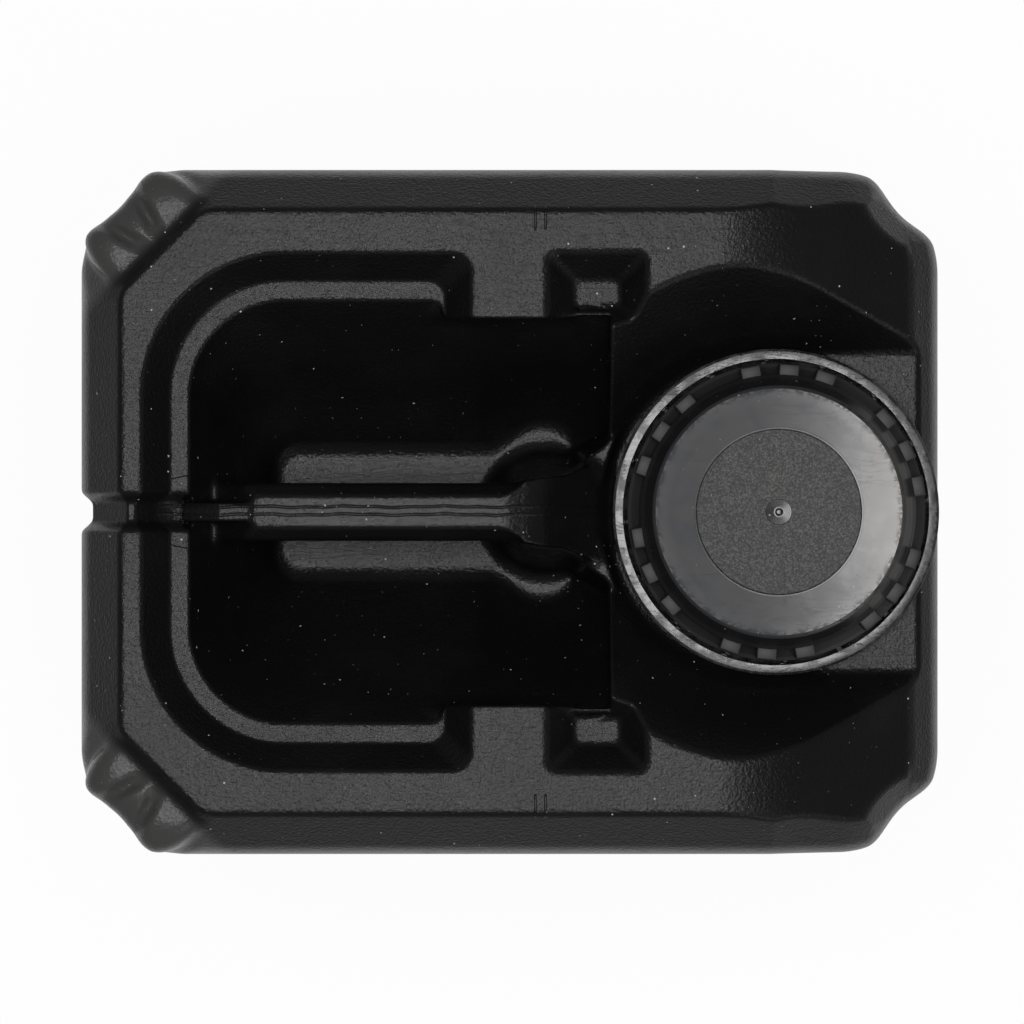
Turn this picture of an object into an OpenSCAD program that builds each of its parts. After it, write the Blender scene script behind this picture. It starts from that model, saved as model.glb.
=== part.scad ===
// Stackable blow moulded oil jug with a handle in its top, a threaded neck and a screw cap.
// Millimetres, Z up. X runs towards the neck, Y runs across, Z = 0 is the face the jug stands on.

/* [Body] */
// Length of the body along X
body_l = 190; // [184:0.5:200]
// Width of the body along Y
body_w = 151; // [147:0.5:160]
// Height of the stacking face above the table
body_h = 222; // [190:1:260]
// Wall thickness of the moulding
wall = 1.4; // [1.1:0.1:2.0]
// Radius of the four upright corners
corner_r = 22.6; // [20:0.2:26]
// How far the shoulder runs in from the sides
shoulder_in = 9.6; // [8:0.2:11]
// How far the shoulder drops
shoulder_drop = 16; // [12:0.5:20]
// Radius of the upright flutes in the corners
flute_r = 9.8; // [8:0.2:11]
// Depth of the upright flutes
flute_deep = 2.8; // [1.5:0.1:3.2]
// Depth of the hollow in the two long sides
panel_deep = 0.8; // [0.4:0.1:1.2]
// Depth of the upright groove in the rear wall
groove_deep = 2.8; // [1.5:0.1:3.2]
// Width of the upright groove in the rear wall
groove_w = 9; // [7:0.5:11]
// Depth of the hollow under the base
base_deep = 4; // [2.5:0.5:6]

/* [Front slope] */
// How far the slope drops at the front
slope_drop = 20.5; // [18:0.5:21.5]

/* [Step and well] */
// Depth of the ledge below the stacking face
ledge_deep = 8; // [6:0.5:10]
// Width of the stacking strips along the sides
strip_w = 9.5; // [8:0.1:12]
// Width of the stacking strip at the rear
strip_rear = 4.8; // [3.5:0.1:7]
// How far the step slope runs in
step_run = 5.8; // [4:0.2:7]
// Width of the ledge
ledge_w = 4.3; // [3:0.1:6]
// Depth of the hand well floor below the stacking face
well_deep = 50; // [44:1:58]
// Half width of the hand well floor
floor_y = 14.5; // [12.5:0.5:17]
// How far the rear slope of the well runs in from the step
rear_run = 27.3; // [25:0.1:30]
// How far the two stacking tabs reach in past the ledge
tab_in = 3.5; // [2:0.1:5]
// Length of the stacking tabs
tab_l = 16.3; // [12:0.1:20]
// Length of the small pockets beside the tabs
pocket_l = 21.9; // [20:0.1:23.5]

/* [Handle] */
// Width of the handle
grip_w = 12.7; // [10:0.1:15]
// Width of the flat along the top of the handle
grip_flat = 6.5; // [4:0.1:8]
// How far the handle lies below the stacking face
grip_below = 4; // [2:0.5:5]
// Thickness of the handle from top to bottom
grip_t = 17; // [13:0.5:20]
// From the rear edge of the step to the end of the handle flat
grip_in = 24.1; // [22:0.1:27]
// From the front wall of the well back to the centre of the handle's foot
foot_back = 13.5; // [12:0.1:15]
// Half width of the front foot at the floor
foot_r = 14; // [12:0.5:15]

/* [Neck] */
// Outside radius of the plain neck
neck_r = 26.4; // [24:0.1:28]
// Wall of the neck
neck_wall = 2.4; // [1.8:0.1:3.4]
// From the ring to the front end of the body
front_gap = 0.8; // [0.4:0.1:3]
// Depth of the neck pad below the stacking face
pad_deep = 24; // [22.5:0.5:25]
// Width of the bank between the shoulder and the neck recess
bank_w = 11.5; // [10:0.1:13]
// How far the neck stands up from the pad
neck_tall = 18.9; // [17.5:0.1:19.2]
// How far the bead that holds the ring stands out
bead_out = 5; // [4:0.1:5.4]

/* [Thread] */
// Rise of the thread in one turn
thread_pitch = 6; // [4:0.5:7]
// Turns of thread on the neck
thread_turns = 1.6; // [1:0.1:1.8]
// How far the neck thread stands out
thread_h = 1.5; // [1.1:0.1:1.6]

/* [Cap] */
// Gap between the cap skirt and the neck pad
skirt_gap = 5.5; // [5.4:0.1:6]
// Thickness of the cap skirt
skirt_t = 1.9; // [1.4:0.1:2.4]
// How far the grip ribs stand out
rib_h = 2.1; // [1.5:0.1:2.4]
// How far the cap top draws in from the skirt
cap_edge = 2.6; // [1.8:0.1:3.4]
// Width of the smooth band round the grained disc in the cap top
band_w = 9.5; // [7:0.1:12]
// Thickness of the sealing disc
liner_t = 1.5; // [1.2:0.1:1.8]
// Thickness of the cap top
roof_t = 1.6; // [1.4:0.1:1.8]

/* [Ring] */
// Gap round the bead, to the upright part of the ring
ring_gap = 2.2; // [2:0.1:2.6]
// Width of the ring flange
ring_w = 2.4; // [2:0.1:2.8]
// Height of the ring
ring_h = 5.2; // [4.8:0.1:5.4]

/* [Hidden] */
hx = body_l / 2;
hy = body_w / 2;
pad_z = body_h - pad_deep;
neck_top = pad_z + neck_tall;
bore_r = neck_r - neck_wall;
bead_r = neck_r + bead_out;
ring_in = bead_r + ring_gap;
ring_r = ring_in + ring_w;
// The round foot of the ring reaches past the flat of the pad
ring_toe = 0.6;
pad_y = ring_r - ring_toe;
neck_x = hx - front_gap - ring_r;
recess_x = neck_x - 2.2;
recess_r = hy - shoulder_in - bank_w;
slope_x = neck_x - 1.2;
thread_gap = 0.4;
cap_in = neck_r + thread_h + thread_gap;
cap_r = cap_in + skirt_t;
cap_top_r = cap_r - cap_edge;
disc_r = cap_top_r - band_w;
flange_gap = 0.8;
flange_r = ring_in - flange_gap;
liner_fit = 0.3;
liner_play = 0.1;
cap_z1 = neck_top + liner_t + liner_play + roof_t;
cap_z0 = pad_z + skirt_gap;
cap_h = cap_z1 - cap_z0;
post_x = hx - corner_r;
post_y = hy - corner_r;
panel_x = post_x - 20.4;
chamfer = 16.8;
// The step corners share their centres with the sides of the step
step_y = hy - shoulder_in - strip_w;
step_rear = hx - shoulder_in - strip_rear;
step_r = 31;
step_cx = step_rear - step_r;
step_cy = step_y - step_r;
led_in = step_run + ledge_w;
well_slope = (step_y - led_in - floor_y) / (well_deep - ledge_deep);
tab_y = step_y - led_in - tab_in;
floor_rear = step_rear - rear_run;
grip_rear = step_rear - grip_in;
well_front = recess_x - pad_y + 0.4;
foot_x = well_front - foot_back;
pocket_x0 = foot_x;
pocket_x1 = pocket_x0 + pocket_l;
step_front = tab_l - pocket_x0;
pad_run = recess_r - pad_y;
ring_z1 = pad_z + ring_h;
cap_thread = cap_in - 1.3;
cap_turns = 1.2;
neck_thread_z = neck_top - 2.2 - thread_turns * thread_pitch;
cap_thread_z = cap_z0 + 2.4;
// The cap thread bears on the underside of the neck thread
thread_seat = 1.95;
thread_start = 360 * (cap_thread_z - neck_thread_z + thread_seat) / thread_pitch;
turn_steps = 32;

// A round edge at height z, one corner of a lofted form, filled towards its inside
module dot(x, y, z, r, up = -1) {
  translate([x, y, z]) rotate([up > 0 ? 0 : 180, 0, 0]) cylinder(h = 0.6, r1 = r, r2 = r * 0.5, $fn = 32);
}

// The same round edge in the four corners
module dots(x0, x1, y, z, r, up = -1) {
  for (s = [-1, 1]) {
    dot(x0, s * y, z, r, up);
    dot(x1, s * y, z, r, up);
  }
}

// The plain outside of the jug before anything is sunk into it, drawn in by t all round
module hull_form(t) {
  i = shoulder_in;
  d = shoulder_drop;
  h = body_h - t;
  hull() {
    // base edge
    dots(-post_x, post_x, post_y, t, corner_r - 4 - t, 1);
    dots(-post_x, post_x, post_y, t + 1.6, corner_r - 1.2 - t, 1);
    dots(-post_x, post_x, post_y, t + 5, corner_r - t, 1);
    // sides
    dots(-post_x, slope_x - 8, post_y, h - d, corner_r - t);
    dots(post_x, post_x, post_y, h - slope_drop - 11, corner_r - t);
    // rounded shoulder
    dots(-post_x, slope_x - 9, post_y, h - d * 0.62, corner_r - 1.8 - t);
    dots(-post_x, slope_x - 10, post_y, h - d * 0.32, corner_r - 5.1 - t);
    dots(post_x, post_x, post_y, h - slope_drop - 5.5, corner_r - 1.7 - t);
    dots(post_x, post_x, post_y, h - slope_drop - 1.6, corner_r - 4.4 - t);
    // stacking face with its cut off rear corners
    for (s = [-1, 1]) {
      dot(-hx + i + 2.6 + chamfer * 0.8, s * (hy - i - 2.6), h - 0.8, 3.4 - t * 0.5);
      dot(-hx + i + 2.6, s * (hy - i - 2.6 - chamfer * 0.8), h - 0.8, 3.4 - t * 0.5);
      dot(-hx + i + 3 + chamfer * 0.8, s * (hy - i - 3), h, 2.4 - t * 0.5);
      dot(-hx + i + 3, s * (hy - i - 3 - chamfer * 0.8), h, 2.4 - t * 0.5);
      dot(slope_x - 6, s * (hy - i - 6), h, 6 - t * 0.5);
      // front edge of the slope
      dot(hx - 18, s * (hy - 20), h - slope_drop, 11 - t * 0.5);
    }
  }
}

// Upright flutes in the corners, the hollow sides and the groove in the rear wall
module side_cuts(t) {
  for (sx = [-1, 1]) for (sy = [-1, 1]) {
    k = (corner_r - flute_deep + flute_r) / sqrt(2);
    translate([sx * (post_x + k), sy * (post_y + k), 16 - t])
      cylinder(h = body_h, r = flute_r + t, $fn = 48);
  }
  for (s = [-1, 1])
    translate([-panel_x - t, s > 0 ? hy - panel_deep - t : -hy - 20 + panel_deep + t, 36 - t])
      cube([2 * panel_x + 2 * t, 20, body_h - 74 + 2 * t]);
  translate([-hx - 20 + groove_deep + t, -groove_w / 2 - t, 30 - t])
    cube([20, groove_w + 2 * t, body_h]);
  // the groove runs on over the rear stacking strip
  translate([-hx - 1, -groove_w / 2 - t, body_h - groove_deep + 0.3 - t])
    cube([hx - step_rear + 5, groove_w + 2 * t, 20]);
}

// The hollow under the base
module base_cut(t) {
  x1 = hx - 14 + t;
  y1 = hy - 14 + t;
  z1 = base_deep + t;
  r = 1.2 * (z1 + 2);
  intersection() {
    translate([0, body_w, 0]) rotate([90, 0, 0]) linear_extrude(2 * body_w)
      polygon([[-x1, -2], [x1, -2], [x1 - r, z1], [-x1 + r, z1]]);
    rotate([90, 0, 90]) translate([0, 0, -body_l]) linear_extrude(2 * body_l)
      polygon([[-y1, -2], [y1, -2], [y1 - r, z1], [-y1 + r, z1]]);
    for (a = [-45, 45]) rotate([0, 0, a]) translate([-body_l, -body_w / 2 + 5, -5])
      cube([2 * body_l, body_w - 10, 30]);
  }
}

// Side profile of the step, seen along Y
module step_side(t) {
  polygon([
    [-step_rear - t - 2 * step_run / ledge_deep, body_h + 2],
    [-step_rear + step_run - t, body_h - ledge_deep - t],
    [-step_front - step_run + t, body_h - ledge_deep - t],
    [-step_front + t + 2 * step_run / ledge_deep, body_h + 2]
  ]);
}

// The C shaped step round the rear of the well
module step_cut(t) {
  z0 = body_h - ledge_deep - t;
  g = step_run / ledge_deep;
  // front part with straight sides
  intersection() {
    translate([0, body_w, 0]) rotate([90, 0, 0]) linear_extrude(2 * body_w) step_side(t);
    rotate([90, 0, 90]) translate([0, 0, -step_cx]) linear_extrude(step_cx)
      polygon([
        [-step_y - t - 2 * g, body_h + 2], [-step_y + step_run - t, z0],
        [step_y - step_run + t, z0], [step_y + t + 2 * g, body_h + 2]
      ]);
  }
  // rear middle
  intersection() {
    translate([0, step_cy, 0]) rotate([90, 0, 0]) linear_extrude(2 * step_cy) step_side(t);
    translate([-body_l, -body_w, 0]) cube([body_l - step_cx + 1, 2 * body_w, 2 * body_h]);
  }
  // rear corners
  for (s = [-1, 1]) translate([-step_cx, s * step_cy, z0])
    cylinder(h = body_h + 2 - z0, r1 = step_r - step_run + t, r2 = step_r + t + 2 * g, $fn = 96);
}

// The hand well below the ledge, less the two tabs that hang over its slope
module well_cut(t) {
  zt = body_h - ledge_deep + 1;
  zf = body_h - well_deep - t;
  r1 = step_r - led_in;
  g = well_slope;
  k = step_run / ledge_deep;
  difference() {
    hull() {
      for (s = [-1, 1]) {
        dot(-step_cx, s * step_cy, zt, r1 + t + g);
        dot(well_front - 3, s * (step_y - led_in - 3), zt, 3 + t + g);
        dot(-floor_rear + 6, s * (floor_y - 6), zf, 6 + t, 1);
        dot(well_front - 5, s * (floor_y - 5), zf, 5 + t, 1);
      }
    }
    for (s = [-1, 1]) translate([0, s > 0 ? tab_y + t + 30 : -tab_y - t, 0])
      rotate([90, 0, 0]) linear_extrude(30)
        polygon([
          [-step_front + t, body_h + 1], [pocket_x0 - t, body_h + 1],
          [pocket_x0 - t + 20 * k, body_h - 20], [-step_front + t - 20 * k, body_h - 20]
        ]);
  }
}

// Open middle between the tabs and above the well
module middle_cut(t) {
  z0 = body_h - ledge_deep - (tab_in + t) / well_slope;
  translate([-step_front - 9, -tab_y - t, z0])
    cube([step_front + 9 + well_front + t, 2 * (tab_y + t), 30]);
}

// Small pockets beside the tabs, open to the well
module pocket_cut(t) {
  z0 = body_h - ledge_deep - t;
  g = step_run / ledge_deep;
  for (s = [-1, 1]) intersection() {
    translate([0, s > 0 ? step_y + 8 : -30, 0]) rotate([90, 0, 0]) linear_extrude(step_y - 22)
      polygon([
        [pocket_x0 - t - 2 * g, body_h + 2], [pocket_x0 + step_run - t, z0],
        [pocket_x1 - step_run + t, z0], [pocket_x1 + t + 2 * g, body_h + 2]
      ]);
    rotate([90, 0, 90]) linear_extrude(60)
      polygon([
        [s * 20, z0], [s * (step_y - step_run + t), z0],
        [s * (step_y + t + 2 * g), body_h + 2], [s * 20, body_h + 2]
      ]);
  }
}

// Recess round the neck, open to the front
module neck_cut(t) {
  z0 = pad_z - t;
  up = pad_deep + 2 + t;
  pg = pad_run / pad_deep;
  translate([recess_x, 0, z0])
    cylinder(h = up, r1 = pad_y + t, r2 = pad_y + t + pg * up, $fn = 96);
  rotate([90, 0, 90]) translate([0, 0, recess_x]) linear_extrude(body_l)
    polygon([
      [-pad_y - t, z0], [pad_y + t, z0],
      [pad_y + t + pg * up, z0 + up], [-pad_y - t - pg * up, z0 + up]
    ]);
}

// Round valley about the front foot of the handle
module valley_cut(t) {
  z0 = body_h - well_deep - t;
  intersection() {
    translate([foot_x, 0, z0]) cylinder(h = 14, r1 = 17.8 + t, r2 = 21 + t, $fn = 64);
    translate([foot_x - 30, -40, z0]) cube([well_front + t - foot_x + 30, 80, 30]);
  }
}

// The handle with its rear leg and its front foot, drawn in by t
module handle(t) {
  zt = body_h - grip_below - t;
  zb = body_h - grip_below - grip_t + t;
  a = grip_w / 2 - t;
  c = grip_flat / 2 - t * 0.4;
  // the hollow runs on through the skin into the jug
  e = t > 0 ? 3 : 0.6;
  // bar
  intersection() {
    translate([0, 40, 0]) rotate([90, 0, 0]) linear_extrude(80)
      polygon([
        [-grip_rear + t * 0.7, zt], [foot_x - 7, zt], [foot_x + 4, zt - 9.6], [foot_x + 4, zb - 12],
        [foot_x - 11 + t, zb - 12], [foot_x - 13 + t, zb - 4], [foot_x - 17.5, zb],
        [-grip_rear + 4, zb], [-grip_rear, zb - 2.5], [-grip_rear - 4, zb - 9],
        [-grip_rear - 9.4 - e, zb - 9], [-grip_rear - 9.4 - e, zt - 20], [-grip_rear - 9.4, zt - 15.5],
        [-grip_rear - 2.5 + t * 0.7, zt - 4.5]
      ]);
    rotate([90, 0, 90]) translate([0, 0, -body_l / 2]) linear_extrude(body_l)
      polygon([
        [-a, zb - 40], [a, zb - 40], [a, zt - 3.1], [a - 0.9, zt - 0.9], [c, zt],
        [-c, zt], [-a + 0.9, zt - 0.9], [-a, zt - 3.1]
      ]);
  }
  // front foot
  hull() {
    dot(foot_x - 4.5, 0, zt - 5.6, 4.6 - t);
    dot(foot_x + 1, 0, zt - 11.5, 6.6 - t);
    dot(foot_x + 0.4, 0, body_h - well_deep - e, foot_r + 0.6 - t, 1);
    for (s = [-1, 1]) {
      dot(well_front - 2.6 - t, s * (8.4 - t), pad_z + 4.4 - t, 2.2);
      dot(well_front + 1 - t, s * (9.6 - t), pad_z - 3 - t, 2.2);
      dot(well_front + 1 - t, s * (10.5 - t), body_h - well_deep - e, 3, 1);
    }
  }
}

// Thin web that joins the rear of the handle to the ledge
module rear_web() {
  translate([0, 2.1, 0]) rotate([90, 0, 0]) linear_extrude(4.2)
    polygon([
      [-grip_rear + 2, body_h - grip_below - 0.3], [-64, body_h - grip_below - 0.6],
      [-70.8, body_h - ledge_deep], [-74, body_h - ledge_deep - 3],
      [-74, body_h - ledge_deep - 13], [-grip_rear - 9, body_h - grip_below - grip_t - 5],
      [-grip_rear + 2, body_h - grip_below - grip_t]
    ]);
}

// Everything above as one closed form, drawn in by t
module form(t) {
  union() {
    difference() {
      hull_form(t);
      side_cuts(t);
      base_cut(t);
      step_cut(t);
      well_cut(t);
      middle_cut(t);
      pocket_cut(t);
      neck_cut(t);
      valley_cut(t);
    }
    handle(t);
  }
}

// A thread ridge wound round the Z axis, standing out or in from radius r
module ridge(r, h, z0, turns, pitch, foot, tip) {
  n = round(turns * turn_steps);
  pts = [for (i = [0:n]) let (
      a = i * 360 / turn_steps,
      k = min(1, min(i, n - i) / 4),
      z = z0 + pitch * i / turn_steps,
      ro = r + h * k * (i == 0 || i == n ? 0 : 1) + (i == 0 || i == n ? sign(h) * 0.1 : 0),
      ri = r - sign(h) * 0.5
    ) each [
      [ri * cos(a), ri * sin(a), z - foot / 2],
      [ro * cos(a), ro * sin(a), z - tip / 2],
      [ro * cos(a), ro * sin(a), z + tip / 2],
      [ri * cos(a), ri * sin(a), z + foot / 2]
    ]];
  quads = [for (i = [0:n - 1]) each [
      for (j = [0:3]) each [
        [4 * i + j, 4 * i + (j + 1) % 4, 4 * i + 4 + j],
        [4 * i + (j + 1) % 4, 4 * i + 4 + (j + 1) % 4, 4 * i + 4 + j]
      ]
    ]];
  ends = [[3, 2, 1], [3, 1, 0], [4 * n, 4 * n + 1, 4 * n + 2], [4 * n, 4 * n + 2, 4 * n + 3]];
  all = concat(quads, ends);
  flip = h > 0 ? all : [for (f = all) [f[2], f[1], f[0]]];
  polyhedron(points = pts, faces = flip, convexity = 6);
}

module jug_body() {
  color([0.05, 0.05, 0.06])
  difference() {
    union() {
      difference() {
        union() {
          form(0);
          rear_web();
        }
        form(wall);
      }
      // neck and the bead that holds the ring
      translate([neck_x, 0, pad_z - wall]) cylinder(h = neck_tall + wall, r = neck_r, $fn = 96);
      translate([neck_x, 0, 0]) rotate_extrude($fn = 96)
        polygon([
          [neck_r - 1, pad_z + 1.6], [neck_r, pad_z + 1.6], [bead_r, pad_z + 2.4],
          [bead_r, pad_z + 3.0], [neck_r, pad_z + 4.6], [neck_r - 1, pad_z + 4.6]
        ]);
      // thread
      translate([neck_x, 0, 0])
        ridge(neck_r, thread_h, neck_thread_z, thread_turns, thread_pitch, 3.4, 1.4);
    }
    translate([neck_x, 0, pad_z - pad_deep]) cylinder(h = 3 * pad_deep, r = bore_r, $fn = 96);
  }
}

module tamper_ring() {
  color([0.04, 0.04, 0.04])
  translate([neck_x, 0, 0]) rotate_extrude($fn = 96)
    polygon([
      [ring_in, ring_z1], [ring_in + 0.5, ring_z1], [ring_r, ring_z1 - 1.6],
      [ring_r, pad_z + 1.4], [ring_r - 1.2, pad_z], [bead_r - 2, pad_z],
      [bead_r - 2, pad_z + 0.9], [bead_r + 1, pad_z + 1.3], [ring_in, pad_z + 2.2]
    ]);
}

module sealing_disc() {
  color([0.85, 0.85, 0.82])
  translate([neck_x, 0, neck_top]) cylinder(h = liner_t, r = cap_in - liner_fit, $fn = 96);
}

module screw_cap() {
  color([0.08, 0.08, 0.085])
  union() {
    translate([neck_x, 0, 0]) rotate_extrude($fn = 96)
      polygon([
        [0, cap_z1 - 1.0], [2.5, cap_z1 - 0.9], [2.9, cap_z1 - 0.4], [disc_r, cap_z1 - 0.4],
        [disc_r + 0.3, cap_z1], [cap_top_r - 0.4, cap_z1 - 0.3], [cap_top_r, cap_z1 - 0.7],
        [cap_top_r + 0.6, cap_z1 - 1.6], [cap_r, cap_z1 - 5], [cap_r, cap_z0 + 3],
        [flange_r, cap_z0 + 1.4], [flange_r, cap_z0], [cap_r - 0.4, cap_z0],
        [cap_in, cap_z0 + 1.2], [cap_in, cap_z1 - roof_t], [0, cap_z1 - roof_t]
      ]);
    // thread, half a turn round from the one on the neck
    translate([neck_x, 0, 0]) rotate([0, 0, thread_start])
      ridge(cap_in, cap_thread - cap_in, cap_thread_z, cap_turns, thread_pitch, 3.0, 1.2);
    for (k = [0:5]) for (a = [10.5, 25.5, 41])
      translate([neck_x, 0, 0]) rotate([0, 0, a + 60 * k])
        translate([cap_r - 0.5, -1.8, cap_z0 + 1]) cube([rib_h + 0.5, 3.6, cap_h - 7]);
    // ends of the bridges that held the ring
    for (k = [0:15]) translate([neck_x, 0, cap_z0 + 0.2]) rotate([0, 0, 26 + 22.5 * k])
      translate([flange_r - 0.4, -0.7, 0]) cube([flange_gap, 1.4, 0.9]);
  }
}

jug_body();
tamper_ring();
sealing_disc();
screw_cap();
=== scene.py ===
import math
import random

import bmesh
import bpy
import numpy as np
from mathutils import Matrix, Vector
from mathutils.bvhtree import BVHTree


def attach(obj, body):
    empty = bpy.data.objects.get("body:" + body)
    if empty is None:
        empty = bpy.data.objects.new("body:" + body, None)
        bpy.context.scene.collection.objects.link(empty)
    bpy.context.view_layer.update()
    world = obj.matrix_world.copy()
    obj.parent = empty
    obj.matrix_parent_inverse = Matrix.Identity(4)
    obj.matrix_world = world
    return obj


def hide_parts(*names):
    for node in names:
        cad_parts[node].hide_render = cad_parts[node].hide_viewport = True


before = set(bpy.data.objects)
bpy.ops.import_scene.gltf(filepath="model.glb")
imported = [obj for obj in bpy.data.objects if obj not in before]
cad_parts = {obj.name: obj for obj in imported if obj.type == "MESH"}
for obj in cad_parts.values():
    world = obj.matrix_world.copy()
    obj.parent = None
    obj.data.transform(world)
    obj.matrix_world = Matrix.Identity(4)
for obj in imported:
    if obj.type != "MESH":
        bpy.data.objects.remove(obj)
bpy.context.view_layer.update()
rand = random.Random(5)

MM = 0.001
TOP = 222.0
NECK_X = 58.2
LEDGE = 8.0
WELL = 50.0
RECESS = 24.0
HALF_LONG = 95.0
HALF_WIDE = 75.5
SLOPE_START = 57.0
SLOPE_FALL = 0.6613
WALL_LEAN = 0.725
PITCH = 6.0
PAD = TOP - RECESS
NECK_TOP = PAD + 18.9
CAP_TOP = NECK_TOP + 3.2
CAP_FOOT = PAD + 5.5
MIDDLE_R = 17.9


# Camera straight above the jug

def make_camera():
    data = bpy.data.cameras.new("overhead")
    data.sensor_width = 36
    data.lens = 226.3
    data.clip_start = 0.05
    data.clip_end = 20
    cam = bpy.data.objects.new("overhead", data)
    cam.location = (0.0, 0.0, 1.622)
    bpy.context.scene.collection.objects.link(cam)
    bpy.context.scene.camera = cam


make_camera()


# Small helpers

def link(obj):
    bpy.context.scene.collection.objects.link(obj)
    return obj


def finish_mesh(name, bm, closed=True):
    """Merges doubles, turns the faces outwards and makes a smooth shaded object."""
    bmesh.ops.remove_doubles(bm, verts=bm.verts, dist=2e-6)
    if closed:
        bmesh.ops.recalc_face_normals(bm, faces=bm.faces)
    me = bpy.data.meshes.new(name)
    bm.to_mesh(me)
    bm.free()
    me.polygons.foreach_set("use_smooth", [True] * len(me.polygons))
    me.update()
    return link(bpy.data.objects.new(name, me))


def rounded(points, radii, n=4, closed=True):
    """The profile with its corners rounded, one radius for each point."""
    out = []
    m = len(points)
    for i, p in enumerate(points):
        r = radii[i]
        if r <= 0 or (not closed and i in (0, m - 1)):
            out.append(p)
            continue
        a = Vector(points[i - 1]) - Vector(p)
        b = Vector(points[(i + 1) % m]) - Vector(p)
        la, lb = a.length, b.length
        a.normalize()
        b.normalize()
        t = min(r / math.tan(a.angle(b) / 2), la * 0.48, lb * 0.48)
        for k in range(n + 1):
            s = k / n
            q = Vector(p) + a * t * (1 - s) ** 2 + b * t * s ** 2
            out.append((q.x, q.y))
    return out


def turned(points, steps, closed=True):
    """A profile of (radius, height) in millimetres, spun round the neck's axis."""
    bm = bmesh.new()
    vs = [bm.verts.new(((NECK_X + r) * MM, 0, z * MM)) for r, z in points]
    n = len(vs)
    es = [bm.edges.new((vs[i], vs[(i + 1) % n])) for i in range(n if closed else n - 1)]
    bmesh.ops.spin(bm, geom=vs + es, cent=(NECK_X * MM, 0, 0), axis=(0, 0, 1),
                   angle=2 * math.pi, steps=steps, use_merge=True)
    bmesh.ops.remove_doubles(bm, verts=bm.verts, dist=2e-6)
    bmesh.ops.recalc_face_normals(bm, faces=bm.faces)
    return bm


def thread(radius, height, z0, turns, start, steps=64, foot=3.4, tip=1.4):
    """A thread ridge wound round the neck's axis, with run-out ends."""
    bm = bmesh.new()
    r0, r1 = radius - 0.4 * (1 if height > 0 else -1), radius + height
    shape = [(r0, -foot / 2), (r1, -tip / 2), (r1, tip / 2), (r0, foot / 2)]
    vs = [bm.verts.new(((NECK_X + r) * MM, 0, (z0 + z) * MM)) for r, z in shape]
    face = bm.faces.new(vs)
    n = round(turns * steps)
    bmesh.ops.spin(bm, geom=[face], cent=(NECK_X * MM, 0, 0), axis=(0, 0, 1),
                   angle=2 * math.pi * n / steps, steps=n, dvec=(0, 0, PITCH / steps * MM))
    for v in bm.verts:
        dx, dy = v.co.x / MM - NECK_X, v.co.y / MM
        r = math.hypot(dx, dy)
        if abs(r - r1) > 0.05:
            continue
        z = v.co.z / MM - z0
        t = z / PITCH * steps
        k = min(1.0, max(0.0, min(t, n - t)) / (steps / 10))
        nr = r0 + (r1 - r0) * (0.15 + 0.85 * k)
        v.co.x = (NECK_X + dx * nr / r) * MM
        v.co.y = dy * nr / r * MM
    bmesh.ops.rotate(bm, verts=bm.verts, cent=(NECK_X * MM, 0, 0),
                     matrix=Matrix.Rotation(math.radians(start), 3, "Z"))
    bmesh.ops.recalc_face_normals(bm, faces=bm.faces)
    return bm


def add_to(bm, other):
    """Puts the faces of one bmesh into another."""
    me = bpy.data.meshes.new("part")
    other.to_mesh(me)
    other.free()
    bm.from_mesh(me)
    bpy.data.meshes.remove(me)


def lump(size, at, turn, bevel, segments=2):
    """A block with rounded edges, set at a radius and height and turned about the neck's axis."""
    bm = bmesh.new()
    bmesh.ops.create_cube(bm, size=1.0)
    bmesh.ops.scale(bm, verts=bm.verts, vec=[s * MM for s in size])
    bmesh.ops.bevel(bm, geom=bm.edges[:], affect="EDGES", offset=bevel * MM, segments=segments,
                    profile=0.5, material=-1)
    bmesh.ops.translate(bm, verts=bm.verts, vec=[at[0] * MM, 0, at[1] * MM])
    bmesh.ops.rotate(bm, verts=bm.verts, cent=(0, 0, 0), matrix=Matrix.Rotation(math.radians(turn), 3, "Z"))
    bmesh.ops.translate(bm, verts=bm.verts, vec=[NECK_X * MM, 0, 0])
    return bm


# The blown body is one flowing skin whose every edge and corner is blended, so it is worked out as a
# rounded form on a fine grid and skinned

def rmax(a, b, r):
    """Inside both forms, with a round outer edge."""
    u = np.maximum(a + r, 0)
    v = np.maximum(b + r, 0)
    return np.minimum(-r, np.maximum(a, b)) + np.sqrt(u * u + v * v)


def rmin(a, b, r):
    """Inside either form, with a round inner corner."""
    u = np.maximum(r - a, 0)
    v = np.maximum(r - b, 0)
    return np.maximum(r, np.minimum(a, b)) - np.sqrt(u * u + v * v)


def carve(form, tool, r):
    return rmax(form, -tool, r)


def ramp(v, a, b):
    t = np.clip((v - a) / (b - a), 0, 1)
    return t * t * (3 - 2 * t)


def corner(qx, qy, r):
    """Two walls that meet in a round upright corner."""
    ax = np.maximum(qx + r, 0)
    ay = np.maximum(qy + r, 0)
    return np.sqrt(ax * ax + ay * ay) + np.minimum(np.maximum(qx + r, qy + r), 0) - r


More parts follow.
